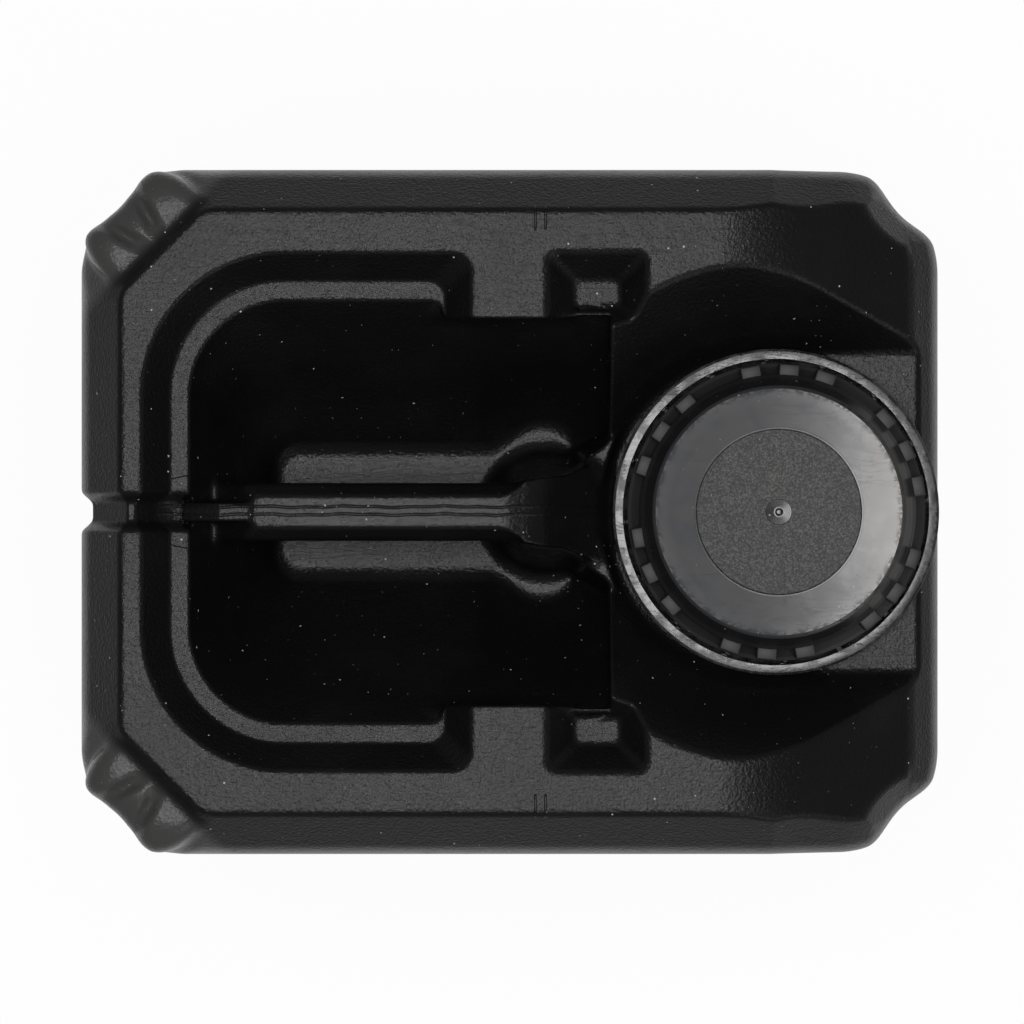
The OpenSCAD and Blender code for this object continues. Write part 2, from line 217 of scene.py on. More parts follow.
def blow_outline(x, ax, ay, z, d):
    """Sides, stacking face, front slope and steep shoulder, before anything is sunk into them."""
    # sides with round corners and their upright flutes
    side = corner(ax - HALF_LONG, ay - HALF_WIDE, 22.6) + 0 * z
    flute = np.hypot(ax - 93.33, ay - 73.83) - 9.8
    side = carve(side, rmax(flute, 16 - z, 2.0), 5.0)
    side = side + 0.8 * ramp(54 - ax, 0, 3.5) * ramp(z, 34, 38) * ramp(186 - z, 0, 4)
    # stacking face and front slope
    fall = (x - SLOPE_START) * SLOPE_FALL
    top = rmax(-d, (fall - d) * 0.8341, 7.0)
    # steep shoulder round the stacking face
    inset = 9.6 - 2.6 * ramp(x, 58, 84)
    f = rmax(side, (side + inset) * 0.857 + (np.clip(fall, 0, 20.5) - d) * 0.514, 2.5)
    # across the rear corner, and along it
    u = (-x + ay - 133.1) * 0.7071
    v = (-x - ay - 19.5) * 0.7071
    f = rmax(f, u * 0.857 + top * 0.514, 1.6)
    # round lobes on the rear corners, with a ribbed flute in each
    rib = np.abs(v) - (2.3 + 0.26 * np.clip(u - 3.7, 0, 20))
    hollow = 2.0 * (1 - ramp(np.abs(rib), 0.0, 2.6)) * ramp(u, 2.0, 7.0)
    lobe = rmax(side, (2.6 + hollow - d) * 0.92, 8.5)
    lobe = rmax(lobe, (np.abs(v + 1) - 13.8) * 0.9, 4.0)
    f = rmin(f, np.maximum(lobe, 0.5 - u), 1.6)
    return rmax(f, top, 0.9)


def sink_base(f, ax, ay, z):
    """The base and the hollow under it."""
    f = rmax(f, -z, 4.5)
    under = corner(ax - 81 + 1.2 * (z + 2), ay - 61.5 + 1.2 * (z + 2), 9.0) * 0.64
    return carve(f, rmax(under, z - 4, 1.5), 1.8)


def sink_well(f, x, ay, d):
    """The step, the hand well less its stacking tabs, and the small pockets beside the tabs."""
    lean = WALL_LEAN * d
    step = corner(-x - 80.6, ay - 56.4, 31.0) + lean
    step = rmax(step * 0.81, (x + 8.8 + lean) * 0.81, 3.2)
    step = rmax(step, d - LEDGE, 0.4)
    f = carve(f, step, 0.6)
    w = (d - LEDGE) / (WELL - LEDGE)
    well = corner(-x - 70.5 + 17.2 * w, ay - 46.3 + 2.2 * ramp(x, 8, 12) + 31.8 * w,
                  np.clip(20.9 - 14.9 * w, 2.0, 40.0)) * 0.81
    bulge = (np.hypot(x - 6.6, ay - 10.9) - 9.2 - (WELL - d) * 0.6) * 0.86
    well = rmin(well, bulge, 3.0)
    well = rmax(well, x - 21.4, 3.0)
    well = rmax(well, d - WELL + 0.8 * np.maximum(x - 13.5, 0), 2.0)
    well = np.maximum(well, np.minimum(ay - 42.8, 7.5 - d))
    tab = rmax(42.8 - ay, (np.abs(x + 0.65) - (8.15 + lean)) * 0.81, 1.6)
    well = rmax(well, -tab, 2.6)
    f = carve(f, well, 0.5)
    pocket = rmax((np.abs(x - 18.6) - 10.9 + lean) * 0.81, (ay - 56.6 + lean) * 0.81, 1.6)
    pocket = rmax(rmax(pocket, (45.0 - ay - WALL_LEAN * (LEDGE - d)) * 0.81, 1.2), d - LEDGE, 0.8)
    return carve(f, pocket, 1.0)


def sink_recess(f, x, y, d):
    """The recess round the neck."""
    recess = (np.hypot(np.minimum(x - 56, 0), y) - 35.4 - (RECESS - d) * 0.792) * 0.784
    return carve(f, rmax(recess, d - RECESS, 1.0), 0.9)


def raise_handle(f, x, y, ay, d):
    """The handle bar with its legs, the saddle to the neck recess and the web behind."""
    below = WELL + 1
    # handle bar with its rear leg
    bar = rmax(ay - 6.35, (ay - 3.5) * 0.79 + (4 - d) * 0.61, 0.8)
    bar = rmax(bar, (d - 21 - 1.15 * np.maximum(-52.5 - x, 0)) * 0.85, 3.0)
    bar = rmax(bar, (-x - 56.6) * 0.86 - (d - 4) * 0.50, 1.4)
    bar = np.maximum(bar, x - 9)
    # front foot, and the saddle that falls from it to the neck recess
    foot = (np.hypot(x - 7.5, y) - 6.2 - 0.0045 * np.maximum(d - 8, 0) ** 2) * 0.95
    crest = rmax(4 - d, 4 + 0.28 * (x + 1.0) - d, 0.4)
    crest = rmax(crest, (5.4 + 1.07 * (x - 5.4) - d) * 0.683, 1.6)
    block = rmax(ay - 6.4 - 3.6 * ramp(x, 6, 19) - 0.05 * np.maximum(d - 10, 0),
                 (x - 19.4) * 0.894 - (d - 20.2) * 0.447, 1.6)
    block = np.maximum(block, 3 - x)
    grip = rmax(rmin(rmin(bar, foot, 4.5), block, 2.0), crest, 0.5)
    # three-cornered lands where the saddle meets the ridge
    land = rmax(-0.570 * x + 0.821 * ay - 0.62, 0.951 * x - 0.307 * ay - 16.81, 1.0)
    land = rmax(land, -0.747 * x - 0.666 * ay + 19.73, 1.0) - 0.1 * np.maximum(d - 19.9, 0)
    f = rmin(f, np.maximum(rmax(land, 19.9 - d, 0.9), d - below), 1.5)
    f = rmin(f, np.maximum(grip, d - below), 2.4)
    # thin web behind the handle
    web = rmax(ay - 2.1, 4.5 + 0.52 * np.maximum(-64 - x, 0) - d, 0.7)
    web = np.maximum(np.maximum(web, np.abs(x + 63) - 9), d - 24)
    return rmin(f, web, 0.9)


def body_form(x, y, z):
    """Below zero inside the jug's outline, in millimetres."""
    ax, ay = np.abs(x), np.abs(y)
    d = TOP - z
    f = blow_outline(x, ax, ay, z, d)
    f = sink_base(f, ax, ay, z)
    f = sink_well(f, x, ay, d)
    f = sink_recess(f, x, y, d)
    # groove along the parting line over the rear wall, the strip and the ledge
    f = f + 2.7 * (1 - ramp(ay, 1.6, 4.7)) * ramp(-x, 69.5, 71.5) * ramp(z, 29, 34)
    return raise_handle(f, x, y, ay, d)


def skin_quads(F, axes):
    """A net of quads round the zero surface of a form given on the lines of a grid."""
    inside = F < 0
    c = inside.astype(np.int8)
    s = sum(c[a:a + c.shape[0] - 1, b:b + c.shape[1] - 1, e:e + c.shape[2] - 1]
            for a in (0, 1) for b in (0, 1) for e in (0, 1))
    cell = np.nonzero((s > 0) & (s < 8))
    ident = np.full(s.shape, -1, np.int32)
    ident[cell] = np.arange(len(cell[0]))
    ends = [(a, b, e) for a in (0, 1) for b in (0, 1) for e in (0, 1)]
    val = {o: F[cell[0] + o[0], cell[1] + o[1], cell[2] + o[2]] for o in ends}
    acc = np.zeros((3, len(cell[0])))
    cnt = np.zeros(len(cell[0]))
    for o in ends:
        for k in range(3):
            if o[k]:
                continue
            q = tuple(1 if j == k else o[j] for j in range(3))
            a, b = val[o], val[q]
            m = (a < 0) != (b < 0)
            t = np.where(m, a / np.where(m, a - b, 1), 0)
            for j in range(3):
                acc[j] += np.where(m, t if j == k else o[j], 0)
            cnt += m
    acc /= cnt
    P = np.stack([g[i] + acc[k] * (g[i + 1] - g[i]) for k, (g, i) in enumerate(zip(axes, cell))], 1)
    quads = []
    for k in range(3):
        cut = [slice(1, -1)] * 3
        cut[k] = slice(0, -1)
        nxt = list(cut)
        nxt[k] = slice(1, None)
        lo, hi = inside[tuple(cut)], inside[tuple(nxt)]
        u, v = [j for j in range(3) if j != k]
        for where, turn in ((lo & ~hi, False), (~lo & hi, True)):
            at = list(np.nonzero(where))
            ring = []
            for du, dv in ((0, 0), (1, 0), (1, 1), (0, 1)):
                q = list(at)
                q[u] = q[u] + du
                q[v] = q[v] + dv
                ring.append(ident[tuple(q)])
            if (k == 1) != turn:
                ring.reverse()
            quads.append(np.stack(ring, 1))
    Q = np.concatenate(quads)
    return P, Q[(Q >= 0).all(1)]


def even_out(P, Q, rounds):
    """Evens the net out without letting it shrink."""
    n = len(P)
    e = np.concatenate([Q[:, [0, 1]], Q[:, [1, 2]], Q[:, [2, 3]], Q[:, [3, 0]]])
    cnt = np.bincount(e.ravel(), minlength=n)[:, None]
    for amount in (0.5, -0.52) * rounds:
        s = np.stack([np.bincount(e[:, 0], P[e[:, 1], k], n) + np.bincount(e[:, 1], P[e[:, 0], k], n)
                      for k in range(3)], 1)
        P = P + amount * (s / np.maximum(cnt, 1) - P)
    return P


def lines(*spans):
    out = [np.linspace(a, b, max(1, round((b - a) / s)), endpoint=False) for a, b, s in spans]
    return np.concatenate(out + [np.array([spans[-1][1]])])


def jug_net(name, step, wall, faces):
    """The skin of the jug, drawn in by a wall thickness."""
    xs = lines((-HALF_LONG - 2.3, HALF_LONG + 2.3, step))
    half = lines((step / 2, 77.6, step))
    zs = lines((-1.3, 9.0, step), (9.0, 161.0, 4.5), (161.0, 223.6, step))
    F = body_form(*[g.reshape(s) for g, s in zip((xs, half, zs), ((-1, 1, 1), (1, -1, 1), (1, 1, -1)))])
    F = (F + wall).astype(np.float32)
    F = np.concatenate([F[:, ::-1], F], 1)
    P, Q = skin_quads(F, (xs, np.concatenate([-half[::-1], half]), zs))
    P = np.clip(even_out(P, Q, 2), (-HALF_LONG, -HALF_WIDE, 0.0), (HALF_LONG, HALF_WIDE, TOP))
    # open where the neck stands
    mid = P[Q].mean(1)
    neck = (np.hypot(mid[:, 0] - NECK_X, mid[:, 1]) < 25.2) & (np.abs(mid[:, 2] - PAD + wall) < 3)
    Q = Q[~neck]
    if wall:
        Q = Q[:, ::-1]
    me = bpy.data.meshes.new(name)
    me.from_pydata((P * MM).tolist(), [], Q.tolist())
    me.update()
    obj = link(bpy.data.objects.new(name, me))
    thin = obj.modifiers.new("thin", "DECIMATE")
    thin.ratio = min(1.0, faces / (2 * len(Q)))
    done = bpy.data.meshes.new_from_object(obj.evaluated_get(bpy.context.evaluated_depsgraph_get()))
    obj.modifiers.clear()
    obj.data = done
    bpy.data.meshes.remove(me)
    bm = bmesh.new()
    bm.from_mesh(done)
    loose = [v for v in bm.verts if not v.link_faces]
    bmesh.ops.delete(bm, geom=loose, context="VERTS")
    bm.to_mesh(done)
    bm.free()
    # shade with the true slope of the form
    n = len(done.vertices)
    co = np.empty(n * 3, np.float32)
    done.vertices.foreach_get("co", co)
    co = co.reshape(-1, 3).astype(float) / MM
    h = 0.35
    grad = np.stack([body_form(co[:, 0] + h * (k == 0), co[:, 1] + h * (k == 1), co[:, 2] + h * (k == 2))
                     - body_form(co[:, 0] - h * (k == 0), co[:, 1] - h * (k == 1), co[:, 2] - h * (k == 2))
                     for k in range(3)], 1)
    grad /= np.maximum(np.linalg.norm(grad, axis=1), 1e-6)[:, None]
    done.polygons.foreach_set("use_smooth", [True] * len(done.polygons))
    done.normals_split_custom_set_from_vertices((grad * (-1 if wall else 1)).tolist())
    done.update()
    return obj


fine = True
skin = jug_net("jug_shell", 0.68 if fine else 1.2, 0.0, 175000)
inner = jug_net("jug_inside", 2.0, 1.4, 24000)
print("skin", len(skin.data.polygons), "inside", len(inner.data.polygons))

# neck with its lip, the bead that holds the ring, and the thread
neck = turned(rounded([
    (24.0, PAD - 2.2), (24.0, NECK_TOP), (26.4, NECK_TOP), (26.4, PAD + 4.6), (31.4, PAD + 3.0),
    (31.4, PAD + 2.4), (26.4, PAD + 1.7), (26.4, PAD + 0.1), (27.6, PAD - 0.9), (27.6, PAD - 1.3)],
    [0, 0.8, 0.6, 0.8, 0.3, 0.3, 0.4, 0.6, 0, 0]), 160)
add_to(neck, thread(26.4, 1.5, NECK_TOP - 11.8, 1.6, 0))
neck = finish_mesh("jug_neck", neck, closed=False)

for obj in (skin, inner, neck):
    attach(obj, "jug")
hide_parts("jug_body")


# Fine ridges that follow the skin

finder = BVHTree.FromObject(skin, bpy.context.evaluated_depsgraph_get())


def ridge_strip(name, x0, x1, y0, y1, nx, ny, height):
    """A strip that lies on the skin and rises by height(x, y) above it."""
    bm = bmesh.new()
    bmesh.ops.create_grid(bm, x_segments=nx, y_segments=ny, size=0.5)
    for v in bm.verts:
        x = x0 + (v.co.x + 0.5) * (x1 - x0)
        y = y0 + (v.co.y + 0.5) * (y1 - y0)
        hit = finder.ray_cast(Vector((x * MM, y * MM, 0.25)), Vector((0, 0, -1)))
        v.co = Vector((x * MM, y * MM, hit[0].z + height(x, y) * MM))
    bmesh.ops.recalc_face_normals(bm, faces=bm.faces)
    if sum(f.normal.z for f in bm.faces) < 0:
        bmesh.ops.reverse_faces(bm, faces=bm.faces)
    obj = finish_mesh(name, bm, closed=False)
    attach(obj, "jug")
    return obj


def bump_at(v, at, half):
    return max(0.0, 1 - abs(v - at) / half)


def parting_height(x, y):
    wob = 0.12 * math.sin(x * 0.31) + 0.08 * math.sin(x * 0.83 + 1)
    rise = 0.34 * bump_at(y, 1.15 + wob, 0.45) + 0.26 * bump_at(y, -0.55 + wob, 0.5)
    return -0.06 + rise


def insert_height(x, y):
    """The fine line of the mould's insert across the ledge."""
    bow = 6.6 + 0.35 * (x + 76.5) - 0.02 * (x + 76.5) ** 2
    return -0.05 + 0.2 * bump_at(abs(y), bow, 0.22)


left_insert = ridge_strip("insert_line_left", -74.6, -70.9, 6.2, 9.6, 24, 60, insert_height)
right_insert = ridge_strip("insert_line_right", -74.6, -70.9, -9.6, -6.2, 24, 60, insert_height)
strip = ridge_strip("parting_line", -79.5, 22.6, -1.5, 2.1, 420, 22, parting_height)


# Tamper ring, sealing disc and cap, with the stubs of the torn bridges between ring and cap

BRIDGES = 16


def bridge_angle(k):
    """Where a torn bridge stands round the neck, in degrees."""
    return 26 + 22.5 * k + rand.uniform(-1.5, 1.5)


ring = turned(rounded([
    (33.6, PAD + 5.1), (33.8, PAD + 5.2), (35.5, PAD + 5.09), (36.0, PAD + 4.6), (36.0, PAD + 1.4),
    (34.8, PAD + 0.02), (29.4, PAD + 0.02), (29.4, PAD + 0.9), (32.4, PAD + 1.3), (33.6, PAD + 2.2)],
    [0.15, 0.2, 0.3, 0.3, 0.5, 0.3, 0, 0.1, 0.3, 0.3]), 160)
for k in range(BRIDGES):
    s = rand.uniform(0.7, 1.15)
    add_to(ring, lump((0.5 * s, 1.3 * s, 0.8), (33.45, PAD + 4.7), bridge_angle(k), 0.12, 1))
ring = finish_mesh("tamper_band", ring, closed=False)
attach(ring, "jug")
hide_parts("tamper_ring")

disc = turned(rounded([(0.0, NECK_TOP), (28.0, NECK_TOP), (28.0, NECK_TOP + 1.5), (0.0, NECK_TOP + 1.5)],
                      [0, 0.3, 0.3, 0]), 96)
disc = finish_mesh("seal_disc", disc)
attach(disc, "disc")
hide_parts("sealing_disc")

cap = turned(rounded([
    (0.0, CAP_TOP - 1.15), (0.55, CAP_TOP - 1.18), (0.75, CAP_TOP - 1.62), (1.1, CAP_TOP - 1.64),
    (2.8, CAP_TOP - 1.38), (MIDDLE_R, CAP_TOP - 1.4), (18.05, CAP_TOP - 1.08), (18.4, CAP_TOP - 1.05),
    (23.0, CAP_TOP - 0.5), (26.9, CAP_TOP), (27.6, CAP_TOP - 0.45), (28.3, CAP_TOP - 1.9),
    (30.1, CAP_TOP - 5.4), (30.2, CAP_FOOT + 3.2), (32.0, CAP_FOOT + 1.7), (32.8, CAP_FOOT + 1.3),
    (32.8, CAP_FOOT), (29.8, CAP_FOOT), (28.3, CAP_FOOT + 1.2), (28.3, CAP_TOP - 1.7), (0.0, CAP_TOP - 1.7)],
    [0, 0.15, 0.2, 0.5, 0.2, 0.12, 0.12, 0.15, 2.0, 0.5, 0.45, 0.9, 1.2, 0.5, 0.5, 0.2, 0.2, 0.3, 0.5, 0.6,
     0]), 192)
add_to(cap, thread(28.3, -1.3, CAP_FOOT + 2.4, 1.2, 165, foot=3.0, tip=1.2))
for k in range(6):
    for a in (10.5, 25.5, 41):
        add_to(cap, lump((3.0, 4.5, 10.2), (30.95, CAP_FOOT + 6.1), a + 60 * k, 0.35))
for k in range(BRIDGES):
    s = rand.uniform(0.6, 1.2)
    add_to(cap, lump((0.7 * s, 1.3 * s, 0.8), (32.9, CAP_FOOT + 0.6), bridge_angle(k), 0.12, 1))
cap = finish_mesh("cap_shell", cap, closed=False)
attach(cap, "cap")
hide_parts("screw_cap")


# Materials

def node_tree(material):
    material.use_nodes = True
    nt = material.node_tree
    nt.nodes.clear()
    return nt


def add(nt, kind, inputs=None, **props):
    n = nt.nodes.new(kind)
    for k, v in props.items():
        setattr(n, k, v)
    for k, v in (inputs or {}).items():
        if isinstance(v, bpy.types.NodeSocket):
            nt.links.new(v, n.inputs[k])
        else:
            n.inputs[k].default_value = v
    return n


def calc(nt, op, a, b=0.0, c=None, clamp=False):
    n = nt.nodes.new("ShaderNodeMath")
    n.operation = op
    n.use_clamp = clamp
    for i, v in enumerate((a, b) if c is None else (a, b, c)):
        if isinstance(v, bpy.types.NodeSocket):
            nt.links.new(v, n.inputs[i])
        else:
            n.inputs[i].default_value = v
    return n.outputs[0]


def spread(nt, value, lo, hi, out_lo=0.0, out_hi=1.0):
    n = nt.nodes.new("ShaderNodeMapRange")
    n.interpolation_type = "SMOOTHSTEP"
    nt.links.new(value, n.inputs["Value"])
    for k, v in (("From Min", lo), ("From Max", hi), ("To Min", out_lo), ("To Max", out_hi)):
        n.inputs[k].default_value = v
    return n.outputs[0]


def blend_colour(nt, fac, a, b):
    n = nt.nodes.new("ShaderNodeMix")
    n.data_type = "RGBA"
    for k, v in ((0, fac), (6, a), (7, b)):
        if isinstance(v, bpy.types.NodeSocket):
            nt.links.new(v, n.inputs[k])
        else:
            n.inputs[k].default_value = v
    return n.outputs[2]


def times(nt, a, b):
    return calc(nt, "MULTIPLY", a, b)


def times_add(nt, a, b, c):
    return calc(nt, "MULTIPLY_ADD", a, b, c)


def cloud(nt, at, scale, detail, roughness=0.5, distortion=0.0):
    """An uneven pattern from 0 to 1."""
    return add(nt, "ShaderNodeTexNoise", {"Vector": at, "Scale": scale, "Detail": detail,
                                          "Roughness": roughness, "Distortion": distortion})


def specks(g, at, scale, channel, rarest, largest, amount):
    """Small round specks of uneven size, one at most to a cell."""
    cells = add(g, "ShaderNodeTexVoronoi", {"Vector": at, "Scale": scale, "Randomness": 1.0}, feature="F1")
    pick = add(g, "ShaderNodeSeparateColor", {"Color": cells.outputs["Color"]})
    size = times(g, spread(g, pick.outputs[channel], rarest, 1.0, 0.0, largest), amount)
    return calc(g, "LESS_THAN", cells.outputs["Distance"], size)


def plastic_surface_group():
    """Moulded grain, dust specks and fine scratches, at sizes given in millimetres."""
    g = bpy.data.node_groups.new("Plastic surface", "ShaderNodeTree")
    face = g.interface
    face.new_socket("Vector", in_out="INPUT", socket_type="NodeSocketVector")
    for name, value in (("Grain size", 0.6), ("Dust amount", 0.5), ("Scratch size", 12.0)):
        s = face.new_socket(name, in_out="INPUT", socket_type="NodeSocketFloat")
        s.default_value = value
    for name in ("Grain", "Mottle", "Dust", "Scratches"):
        face.new_socket(name, in_out="OUTPUT", socket_type="NodeSocketFloat")
    i = g.nodes.new("NodeGroupInput")
    o = g.nodes.new("NodeGroupOutput")
    thousand = {0: i.outputs["Vector"], 1: (1000, 1000, 1000)}
    mm = add(g, "ShaderNodeVectorMath", thousand, operation="MULTIPLY").outputs[0]
    grain = cloud(g, mm, calc(g, "DIVIDE", 1.0, i.outputs["Grain size"]), 3.0, 0.6).outputs["Fac"]
    mottle = cloud(g, mm, 0.045, 5.0, 0.55).outputs["Fac"]
    large = specks(g, mm, 0.32, "Red", 0.4, 0.078, i.outputs["Dust amount"])
    small = specks(g, mm, 0.95, "Green", 0.8, 0.11, i.outputs["Dust amount"])
    dust = calc(g, "MAXIMUM", large, times(g, small, 0.8))
    # scratches, as thin lines of a stretched noise
    per = calc(g, "DIVIDE", 1.0, i.outputs["Scratch size"])
    warp = cloud(g, mm, times(g, per, 0.6), 1.0)
    bend = {0: warp.outputs["Color"], 1: (6, 6, 6), 2: mm}
    bent = add(g, "ShaderNodeVectorMath", bend, operation="MULTIPLY_ADD").outputs[0]
    scr = None
    for turn in (0.5, 1.9, 2.6):
        stretch = {"Vector": bent, "Rotation": (0, 0, turn), "Scale": (0.08, 1.0, 0.4)}
        m = add(g, "ShaderNodeMapping", stretch).outputs[0]
        t = cloud(g, m, times(g, per, 6.0), 2.0).outputs["Fac"]
        line = spread(g, calc(g, "ABSOLUTE", calc(g, "SUBTRACT", t, 0.5)), 0.0, 0.006, 1.0, 0.0)
        line = times(g, line, spread(g, cloud(g, m, per, 1.0).outputs["Fac"], 0.5, 0.62))
        scr = line if scr is None else calc(g, "MAXIMUM", scr, line)
    for name, sock in (("Grain", grain), ("Mottle", mottle), ("Dust", dust), ("Scratches", scr)):
        g.links.new(sock, o.inputs[name])
    return g


SURFACE = plastic_surface_group()


def surface(nt, grain=0.6, dust=0.5, scratch=12.0):
    tc = nt.nodes.new("ShaderNodeTexCoord")
    g = nt.nodes.new("ShaderNodeGroup")
    g.node_tree = SURFACE
    nt.links.new(tc.outputs["Object"], g.inputs["Vector"])
    g.inputs["Grain size"].default_value = grain
    g.inputs["Dust amount"].default_value = dust
    g.inputs["Scratch size"].default_value = scratch
    return tc.outputs["Object"], g.outputs


def close(nt, colour, rough, height, distance, strength=1.0):
    """Ends a material in a shader whose surface is raised by height."""
    bump = add(nt, "ShaderNodeBump", {"Strength": strength, "Distance": distance, "Height": height})
    looks = {"Base Color": colour, "Roughness": rough, "Normal": bump.outputs[0]}
    p = add(nt, "ShaderNodeBsdfPrincipled", looks)
    out = nt.nodes.new("ShaderNodeOutputMaterial")
    nt.links.new(p.outputs[0], out.inputs[0])
    return p


def mould_marks(nt, along, across, high):
    """Two short double lines in the stacking face, one beside each tab."""
    side = calc(nt, "ABSOLUTE", calc(nt, "SUBTRACT", along, 0.0062))
    near = calc(nt, "ABSOLUTE", calc(nt, "SUBTRACT", side, 0.0011))
    mark = times(nt, spread(nt, near, 0.0001, 0.0003, 1.0, 0.0), spread(nt, high, 0.2195, 0.2205))
    ends = times(nt, spread(nt, across, 0.0612, 0.062), spread(nt, across, 0.066, 0.0668, 1.0, 0.0))
    return times(nt, mark, ends)


def blown_black():
    """Satin black polyethylene off a sand blasted mould, dusty, with a painted highlight of lighter grey on
    its rear corner lobes.
    """
    m = bpy.data.materials.new("Satin black blown plastic")
    nt = node_tree(m)
    pos, s = surface(nt, 0.8, 1.0, 30.0)
    film = spread(nt, s["Mottle"], 0.45, 0.7, 0.0, 0.35)
    colour = blend_colour(nt, film, (0.0045, 0.0045, 0.0048, 1), (0.0095, 0.0095, 0.0098, 1))
    place = add(nt, "ShaderNodeSeparateXYZ", {0: pos})
    mirrored = add(nt, "ShaderNodeVectorMath", {0: pos}, operation="ABSOLUTE").outputs[0]
    away = add(nt, "ShaderNodeSeparateXYZ", {0: mirrored})
    out = calc(nt, "ADD", away.outputs[0], away.outputs[1])
    # painted highlight: the rear corner lobes are made a lighter grey, with a little less roughness, to stand
    # in for the light they catch
    painted_corner_highlight = times(nt, spread(nt, out, 0.135, 0.140), spread(nt, place.outputs[0], -0.02, 0.0, 1.0, 0.0))
    colour = blend_colour(nt, painted_corner_highlight, colour, (0.055, 0.055, 0.054, 1))
    colour = blend_colour(nt, times(nt, s["Dust"], 0.85), colour, (0.52, 0.52, 0.50, 1))
    rough = calc(nt, "ADD", spread(nt, s["Mottle"], 0.35, 0.7, 0.31, 0.345), times(nt, s["Scratches"], 0.08))
    held = times(nt, spread(nt, away.outputs[1], 0.0175, 0.019, 1.0, 0.0),
                 spread(nt, away.outputs[0], 0.054, 0.060, 1.0, 0.0))
    rough = times_add(nt, held, -0.06, rough)
    rough = times_add(nt, painted_corner_highlight, -0.04, rough)
    rough = calc(nt, "MAXIMUM", rough, times(nt, s["Dust"], 0.9))
    height = times_add(nt, s["Grain"], 0.2, times(nt, s["Scratches"], -0.008))
    height = times_add(nt, s["Dust"], 0.05, height)
    height = times_add(nt, mould_marks(nt, place.outputs[0], away.outputs[1], place.outputs[2]), 0.25, height)
    p = close(nt, colour, rough, height, 0.001)
    p.inputs["IOR"].default_value = 1.32
    return m


def moulded_black():
    """Glossier black of the cap, hazy grey on its flat band with a painted sheen that makes the band lighter
    and browner towards the front, and grained in its middle.
    """
    m = bpy.data.materials.new("Worn black cap plastic with painted sheen")
    nt = node_tree(m)
    pos, s = surface(nt, 0.36, 0.9, 9.0)
    local = add(nt, "ShaderNodeMapping", {"Vector": pos, "Location": (-NECK_X * MM, 0, 0)})
    xyz = add(nt, "ShaderNodeSeparateXYZ", {0: local.outputs[0]})
    squares = [calc(nt, "POWER", xyz.outputs[k], 2.0) for k in (0, 1)]
    r = times(nt, calc(nt, "SQRT", calc(nt, "ADD", *squares)), 1000.0)
    # where the grained middle, the flat band and the band's outer edge are
    high = spread(nt, xyz.outputs[2], (CAP_TOP - 1.9) * MM, (CAP_TOP - 1.6) * MM)
    off_gate = times(nt, spread(nt, r, 2.75, 2.9), high)
    middle = times(nt, spread(nt, r, MIDDLE_R, 18.05, 1.0, 0.0), off_gate)
    band = times(nt, spread(nt, r, 18.3, 18.7), spread(nt, r, 27.3, 27.8, 1.0, 0.0))
    band = times(nt, band, high)
    edge = times(nt, spread(nt, r, 25.2, 27.6, 0.0, 0.75), band)
    # a blotchy hazy film on the band, a painted sheen that lightens the band towards the front, and crumbs
    # out of the edge
    blotch = cloud(nt, pos, 160.0, 8.0, 0.68, 0.6).outputs["Fac"]
    fleck = cloud(nt, pos, 900.0, 4.0, 0.7).outputs["Fac"]
    front_painted_sheen = spread(nt, xyz.outputs[0], 0.004, 0.026)
    haze_and_sheen = spread(nt, times_add(nt, front_painted_sheen, 0.16, blotch), 0.42, 0.72)
    crumb = times(nt, edge, spread(nt, calc(nt, "ADD", fleck, times(nt, blotch, 0.6)), 0.78, 0.86))
    # painted sheen: the band's colour runs from bluish black at the back to a lighter brownish grey at the
    # front, standing in for the light reflected on that side
    painted_sheen_tint = blend_colour(nt, front_painted_sheen, (0.014, 0.016, 0.023, 1), (0.058, 0.051, 0.044, 1))
    haze_and_sheen_mix = times(nt, band, times_add(nt, haze_and_sheen, 0.85, 0.15))
    colour = blend_colour(nt, haze_and_sheen_mix, (0.012, 0.012, 0.013, 1), painted_sheen_tint)
    speckled = spread(nt, s["Grain"], 0.42, 0.66)
    speckled = blend_colour(nt, speckled, (0.004, 0.004, 0.004, 1), (0.085, 0.082, 0.080, 1))
    colour = blend_colour(nt, middle, colour, speckled)
    colour = blend_colour(nt, times(nt, crumb, 0.5), colour, (0.006, 0.006, 0.006, 1))
    scratched = times(nt, s["Scratches"], times(nt, band, 0.35))
    colour = blend_colour(nt, scratched, colour, (0.02, 0.02, 0.02, 1))
    colour = blend_colour(nt, times(nt, s["Dust"], 0.7), colour, (0.45, 0.44, 0.42, 1))
    rough = times_add(nt, band, spread(nt, xyz.outputs[0], -0.008, 0.024, 0.22, -0.04), 0.24)
    rough = times_add(nt, times(nt, band, haze_and_sheen), 0.06, rough)
    rough = times_add(nt, middle, 0.26, rough)
    rough = times_add(nt, spread(nt, r, 28.9, 29.6), 0.30, rough)
    rough = times_add(nt, crumb, 0.3, rough)
    height = times(nt, s["Grain"], times_add(nt, middle, 0.12, 0.004))
    height = times_add(nt, s["Scratches"], times(nt, band, -0.005), height)
    height = times_add(nt, crumb, -0.02, height)
    height = times_add(nt, times(nt, blotch, band), 0.02, height)
    close(nt, colour, rough, height, 0.001)
    return m


def ring_black():
    """Bare glossy black of the tamper ring, scuffed on its rim."""
    m = bpy.data.materials.new("Glossy black ring plastic")
    nt = node_tree(m)
    pos, s = surface(nt, 0.8, 0.7, 6.0)
    blotch = cloud(nt, pos, 240.0, 6.0, 0.65).outputs["Fac"]
    scuff = spread(nt, blotch, 0.42, 0.64)
    colour = blend_colour(nt, scuff, (0.014, 0.014, 0.015, 1), (0.055, 0.054, 0.054, 1))
    colour = blend_colour(nt, times(nt, s["Dust"], 0.7), colour, (0.45, 0.44, 0.42, 1))
    rough = times_add(nt, scuff, 0.28, 0.18)
    height = times_add(nt, s["Grain"], 0.01, times(nt, s["Scratches"], -0.02))
    close(nt, colour, rough, height, 0.001)
    return m


